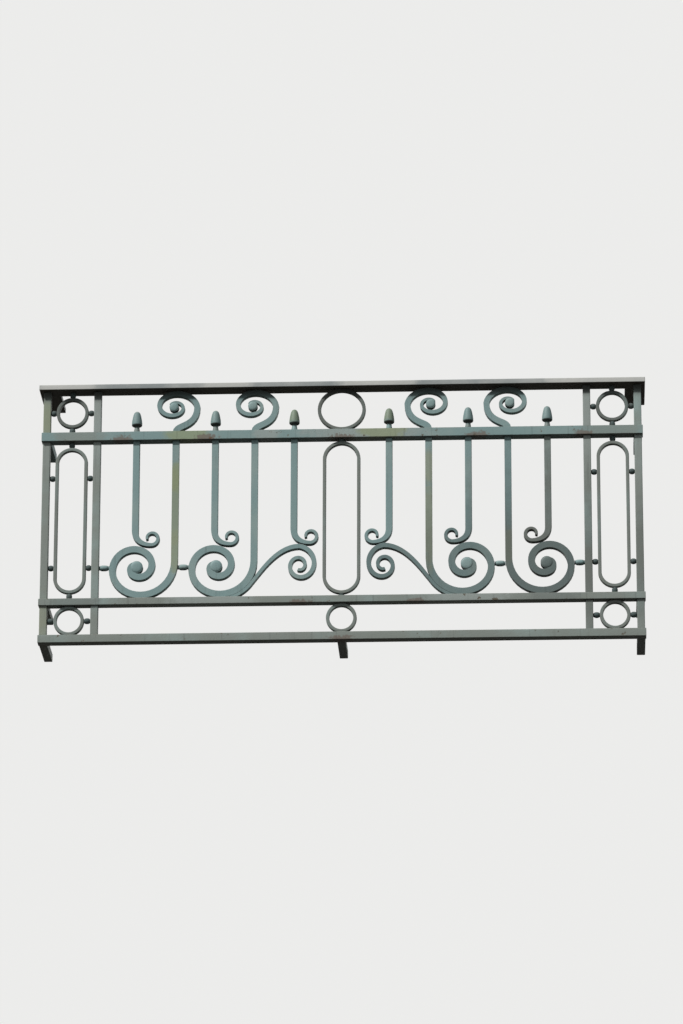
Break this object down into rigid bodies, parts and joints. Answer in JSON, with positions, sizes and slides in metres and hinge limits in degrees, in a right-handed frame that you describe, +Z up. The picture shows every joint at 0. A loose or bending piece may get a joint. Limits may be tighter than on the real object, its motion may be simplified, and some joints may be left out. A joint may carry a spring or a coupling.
{
  "type": "wrought iron window balcony guard",
  "caption": "Shallow wrought iron balcony guard for a window: front panel of bars, scrolls, buds and rings between flat rails that return to the wall.",
  "frame": {"origin": "middle of the wall end of the centre stay, at mid height of the bottom rail, on the wall face", "axes": "+X along the panel to the right as seen from the street, +Y into the wall, +Z up"},
  "size_m": [1.614, 0.182, 0.718],
  "materials": {
    "iron_paint": "weathered matt paint with rust",
    "handrail_paint": "worn grey paint, dark underneath"
  },
  "bodies": {
    "root": {"handrail_front": "handrail_paint", "handrail_return_left": "handrail_paint", "handrail_return_right": "handrail_paint", "upper_rail": "iron_paint", "lower_rail": "iron_paint", "bottom_rail": "iron_paint", "upper_return_left": "iron_paint", "upper_return_right": "iron_paint", "lower_return_left": "iron_paint", "lower_return_right": "iron_paint", "bottom_return_left": "iron_paint", "bottom_return_right": "iron_paint", "centre_stay": "iron_paint", "corner_post_left": "iron_paint", "corner_post_right": "iron_paint", "inner_post_left": "iron_paint", "inner_post_right": "iron_paint", "scroll_bar_left_inner": "iron_paint", "scroll_bar_left_outer": "iron_paint", "scroll_bar_right_inner": "iron_paint", "scroll_bar_right_outer": "iron_paint", "bud_bar_left_inner": "iron_paint", "bud_bar_left_middle": "iron_paint", "bud_bar_left_outer": "iron_paint", "bud_bar_right_inner": "iron_paint", "bud_bar_right_middle": "iron_paint", "bud_bar_right_outer": "iron_paint", "s_scroll_left": "iron_paint", "s_scroll_right": "iron_paint", "scroll_ties_left": "iron_paint", "scroll_ties_right": "iron_paint", "crown_ring_left": "iron_paint", "crown_oval": "iron_paint", "crown_ring_right": "iron_paint", "long_link_left": "iron_paint", "long_link_centre": "iron_paint", "long_link_right": "iron_paint", "foot_ring_left": "iron_paint", "foot_ring_centre": "iron_paint", "foot_ring_right": "iron_paint"}
  },
  "joints": []
}
